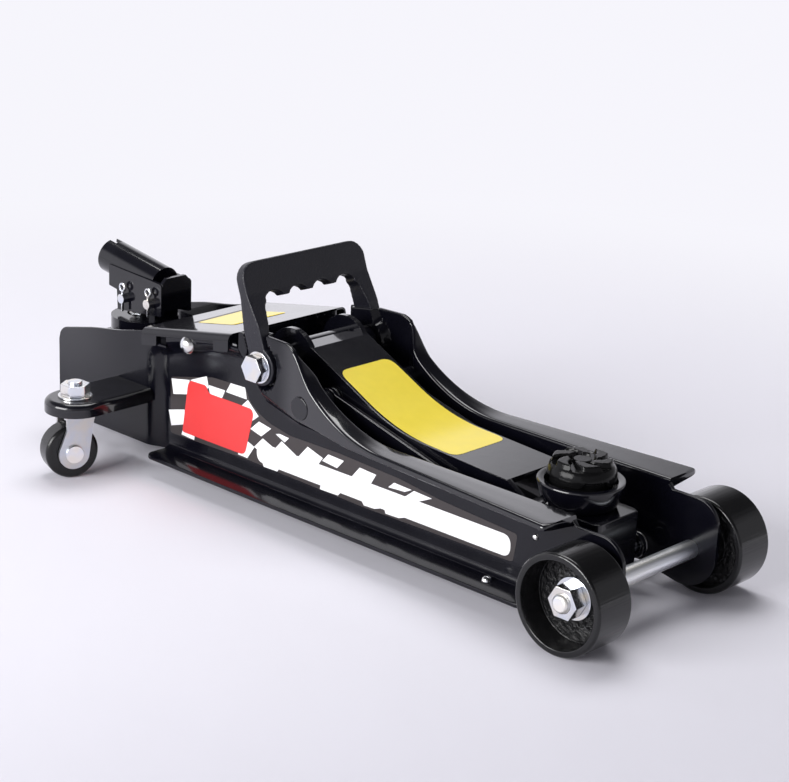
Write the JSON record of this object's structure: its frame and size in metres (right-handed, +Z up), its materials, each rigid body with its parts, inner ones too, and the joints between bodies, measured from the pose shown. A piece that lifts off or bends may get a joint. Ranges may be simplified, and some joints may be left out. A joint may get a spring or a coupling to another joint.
{
  "type": "hydraulic_floor_jack",
  "caption": "Low-profile hydraulic floor jack with lift arm, self-levelling swivel saddle, pump handle socket, carry handle, front wheels and swivelling rear casters.",
  "frame": {"origin": "on the ground, under the middle of the jack's length and width", "axes": "+X to the front wheels and saddle, +Y to the jack's left side, +Z up"},
  "size_m": [0.5436, 0.2636, 0.1681],
  "materials": {
    "black_paint": "gloss black paint on pressed and welded steel",
    "cast_wheel": "cast, painted gloss black on rim and face",
    "zinc": "zinc plated, satin",
    "bare_steel": "machined and oiled",
    "handle_plastic": "fine-textured satin black",
    "caster_plastic": "smooth satin black",
    "pad_rubber": "moulded matte black"
  },
  "bodies": {
    "root": {"side_plate_left": "black_paint", "side_plate_right": "black_paint", "base_plate": "black_paint", "top_cover": "black_paint", "cover_screws": "zinc", "front_axle": "zinc", "axle_spacers": "zinc", "axle_washers": "zinc", "axle_nuts": "zinc", "caster_bracket_left": "black_paint", "caster_bracket_right": "black_paint", "caster_stems": "zinc", "caster_nuts": "zinc", "pivot_shaft": "bare_steel", "handle_bolts": "zinc", "handle_washers": "zinc", "carry_handle": "handle_plastic", "link_studs": "black_paint", "link_stud_clips": "bare_steel", "pump_block": "black_paint", "block_screws": "zinc", "cylinder_liner": "bare_steel", "reservoir": "black_paint", "gland": "bare_steel", "filler_plug": "pad_rubber", "yoke_pin": "zinc", "yoke_pin_clip": "zinc"},
    "front_wheel_left_body": {"front_wheel_left": "cast_wheel"},
    "front_wheel_right_body": {"front_wheel_right": "cast_wheel"},
    "caster_left": {"caster_fork_left": "zinc", "caster_axle_left": "zinc"},
    "caster_right": {"caster_fork_right": "zinc", "caster_axle_right": "zinc"},
    "caster_wheel_left_body": {"caster_wheel_left": "caster_plastic"},
    "caster_wheel_right_body": {"caster_wheel_right": "caster_plastic"},
    "arm": {"lift_arm": "black_paint", "crank_pin": "bare_steel", "saddle_pin": "zinc"},
    "roller": {"crank_roller": "bare_steel"},
    "saddle_frame": {"saddle_bracket": "black_paint", "link_pin": "zinc", "link_pin_clips": "bare_steel"},
    "saddle": {"saddle_cup": "black_paint", "saddle_pad": "pad_rubber", "saddle_circlip": "bare_steel"},
    "links": {"level_link_left": "black_paint", "level_link_right": "black_paint"},
    "ram": {"ram_rod": "bare_steel", "ram_head": "black_paint", "return_spring_left": "bare_steel", "return_spring_right": "bare_steel"},
    "pump": {"socket_yoke": "black_paint", "handle_socket": "black_paint", "plunger_pin": "zinc", "plunger_pin_clip": "zinc"},
    "plunger": {"pump_plunger": "bare_steel", "plunger_spring": "bare_steel"},
    "release": {"release_spindle": "zinc"}
  },
  "joints": [
    {"name": "arm_lift", "type": "hinge", "parent": "root", "child": "arm", "pos_m": [-0.04521, 0, 0.101], "axis": [0, -1, 0], "range_deg": [0, 70]},
    {"name": "saddle_level", "type": "hinge", "parent": "arm", "child": "saddle_frame", "pos_m": [0.16679, 0, 0.047], "axis": [0, -1, 0], "range_deg": [-70, 0]},
    {"name": "saddle_swivel", "type": "hinge", "parent": "saddle_frame", "child": "saddle", "pos_m": [0.18619, 0, 0.058], "axis": [0, 0, 1], "continuous": true},
    {"name": "link_swing", "type": "hinge", "parent": "root", "child": "links", "pos_m": [-0.00421, 0, 0.083], "axis": [0, -1, 0], "range_deg": [0, 70]},
    {"name": "ram_slide", "type": "slide", "parent": "root", "child": "ram", "axis": [1, 0, 0], "range_m": [0, 0.05736], "deforming": ["return_spring_left", "return_spring_right"]},
    {"name": "roller_spin", "type": "hinge", "parent": "arm", "child": "roller", "pos_m": [-0.07389, 0, 0.06004], "axis": [0, 1, 0], "continuous": true},
    {"name": "handle_pump", "type": "hinge", "parent": "root", "child": "pump", "pos_m": [-0.20621, 0, 0.1015], "axis": [0, 1, 0], "range_deg": [0, 40]},
    {"name": "plunger_slide", "type": "slide", "parent": "root", "child": "plunger", "axis": [0, 0, 1], "range_m": [0, 0.01911], "deforming": ["plunger_spring"]},
    {"name": "release_turn", "type": "hinge", "parent": "root", "child": "release", "pos_m": [-0.26021, 0.022, 0.0435], "axis": [1, 0, 0], "range_deg": [0, 180]},
    {"name": "front_wheel_left_spin", "type": "hinge", "parent": "root", "child": "front_wheel_left_body", "pos_m": [0.23979, 0.07, 0.032], "axis": [0, 1, 0], "continuous": true},
    {"name": "front_wheel_right_spin", "type": "hinge", "parent": "root", "child": "front_wheel_right_body", "pos_m": [0.23979, -0.07, 0.032], "axis": [0, 1, 0], "continuous": true},
    {"name": "caster_left_swivel", "type": "hinge", "parent": "root", "child": "caster_left", "pos_m": [-0.17821, 0.107, 0.05], "axis": [0, 0, 1], "continuous": true},
    {"name": "caster_right_swivel", "type": "hinge", "parent": "root", "child": "caster_right", "pos_m": [-0.17821, -0.107, 0.05], "axis": [0, 0, 1], "continuous": true},
    {"name": "caster_wheel_left_spin", "type": "hinge", "parent": "caster_left", "child": "caster_wheel_left_body", "pos_m": [-0.17992, 0.1117, 0.019], "axis": [0.9397, 0.342, 0], "continuous": true},
    {"name": "caster_wheel_right_spin", "type": "hinge", "parent": "caster_right", "child": "caster_wheel_right_body", "pos_m": [-0.17992, -0.1117, 0.019], "axis": [0.9397, -0.342, 0], "continuous": true}
  ],
  "couplings": [
    {"joint": "saddle_level", "follows": "arm_lift", "ratio": -1},
    {"joint": "link_swing", "follows": "arm_lift", "ratio": 1},
    {"joint": "ram_slide", "follows": "arm_lift", "m_per_rad": 0.046948},
    {"joint": "plunger_slide", "follows": "handle_pump", "m_per_rad": 0.027371}
  ]
}
